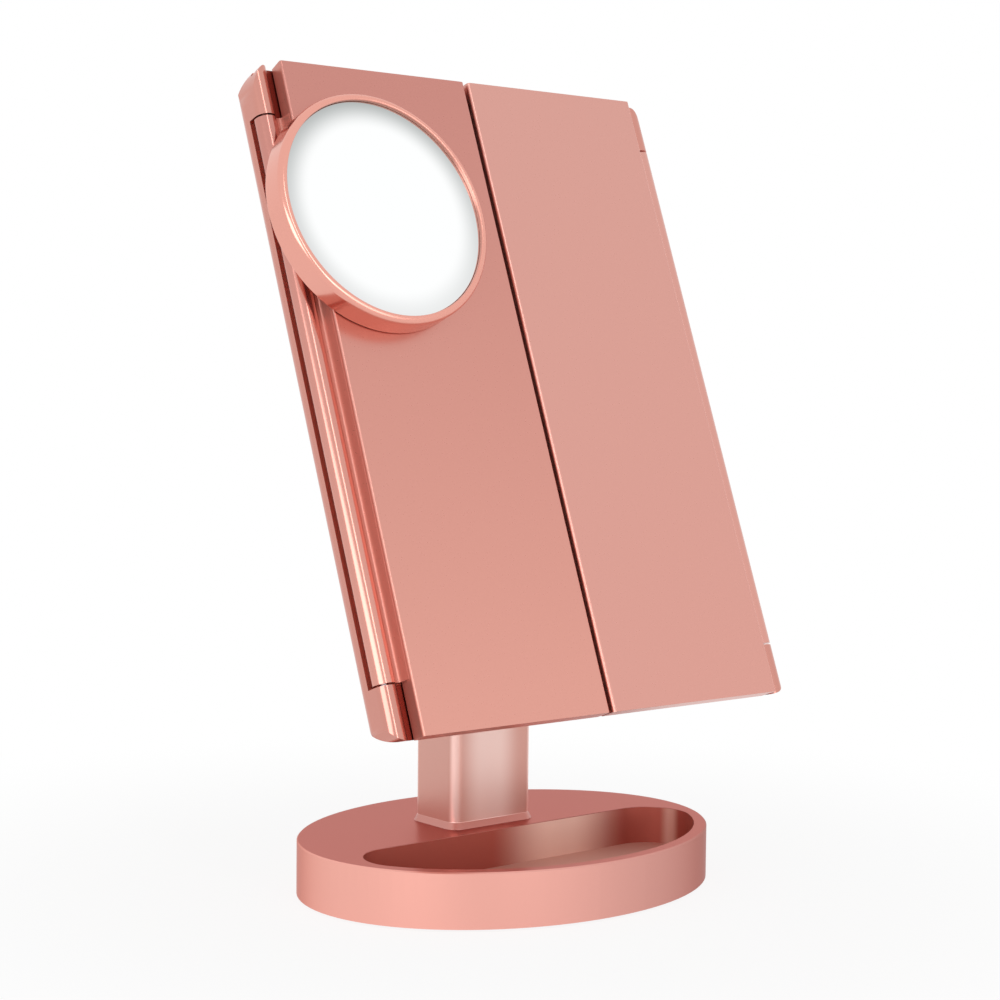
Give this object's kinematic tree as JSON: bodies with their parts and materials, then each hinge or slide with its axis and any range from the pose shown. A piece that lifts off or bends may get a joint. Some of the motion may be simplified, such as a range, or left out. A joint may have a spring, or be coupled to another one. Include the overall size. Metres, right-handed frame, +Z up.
{
  "type": "trifold vanity mirror",
  "caption": "Tabletop vanity mirror: hinged doors close over a lit centre mirror, with a lift-off round spot mirror, a tilting head on a column and an oval base with a tray.",
  "frame": {"origin": "centre of the foot pad's underside, on the table", "axes": "+Z up, +X to the right seen from the front, -Y towards the user: the closed doors face -Y"},
  "size_m": [0.1907, 0.128, 0.2925],
  "materials": {
    "rose_gold": "satin rose-gold paint over moulded plastic",
    "mirror_glass": "silvered glass",
    "frosted": "frosted light diffuser",
    "dark_plastic": "fine matte",
    "steel": "plain zinc-plated steel",
    "cast_weight": "raw",
    "foam_pad": "matte foam rubber",
    "white_board": "white solder mask",
    "green_board": "solder mask",
    "copper": "bare copper",
    "cell_wrap": "plain printed-free wrap"
  },
  "bodies": {
    "base": {"base_shell": "rose_gold", "base_cover": "rose_gold", "base_weight": "cast_weight", "foot_pad": "foam_pad", "cover_screw_1": "steel", "cover_screw_2": "steel", "cover_screw_3": "steel", "cover_screw_4": "steel", "column": "rose_gold", "column_bolt_1": "steel", "column_bolt_2": "steel", "axle_bolt": "steel", "axle_nut": "steel", "washer_left": "foam_pad", "washer_right": "foam_pad", "end_cap_left": "rose_gold", "end_cap_right": "rose_gold"},
    "head": {"rear_shell": "rose_gold", "front_frame": "rose_gold", "tilt_bracket": "rose_gold", "catch_strip": "steel", "frame_screw_1": "steel", "frame_screw_2": "steel", "frame_screw_3": "steel", "frame_screw_4": "steel", "power_socket": "steel", "switch_body": "steel", "contact_plate": "steel", "spring_plate": "steel", "bracket_screw_1": "steel", "bracket_screw_2": "steel", "hinge_rod_left": "steel", "hinge_rod_right": "steel", "battery_tray": "dark_plastic", "centre_mirror": "mirror_glass", "light_strip_left": "frosted", "light_strip_right": "frosted", "led_board_left": "white_board", "led_board_right": "white_board", "control_board": "green_board", "touch_pad": "copper", "battery_cell_1": "cell_wrap", "battery_cell_2": "cell_wrap", "battery_cell_3": "cell_wrap", "battery_cell_4": "cell_wrap"},
    "left_door": {"left_door": "rose_gold", "left_door_mirror": "mirror_glass", "left_door_magnet": "steel", "keeper_plate": "steel"},
    "right_door": {"right_door": "rose_gold", "right_door_mirror": "mirror_glass", "right_door_magnet": "steel"},
    "spot_mirror": {"spot_shell": "rose_gold", "spot_mirror": "mirror_glass", "spot_magnet": "steel"},
    "battery_cover": {"battery_cover": "rose_gold"},
    "power_switch": {"switch_slider": "dark_plastic"}
  },
  "joints": [
    {"name": "head_tilt", "type": "hinge", "parent": "base", "child": "head", "pos_m": [0, 0.0193, 0.1764], "axis": [-1, 0, 0], "range_deg": [-20.5, 65]},
    {"name": "left_door_hinge", "type": "hinge", "parent": "head", "child": "left_door", "pos_m": [-0.08712, -0.00741, 0.17847], "axis": [0, -0.3551, -0.9348], "range_deg": [0, 112]},
    {"name": "right_door_hinge", "type": "hinge", "parent": "head", "child": "right_door", "pos_m": [0.08712, -0.00741, 0.17847], "axis": [0, 0.3551, 0.9348], "range_deg": [0, 178]},
    {"name": "spot_mirror_lift", "type": "slide", "parent": "left_door", "child": "spot_mirror", "axis": [0, -0.9348, 0.3551], "range_m": [0, 0.03]},
    {"name": "battery_cover_slide", "type": "slide", "parent": "head", "child": "battery_cover", "axis": [0, 0.3551, 0.9348], "range_m": [0, 0.06]},
    {"name": "power_switch_slide", "type": "slide", "parent": "head", "child": "power_switch", "axis": [0, 0.3551, 0.9348], "range_m": [0, 0.003]}
  ]
}
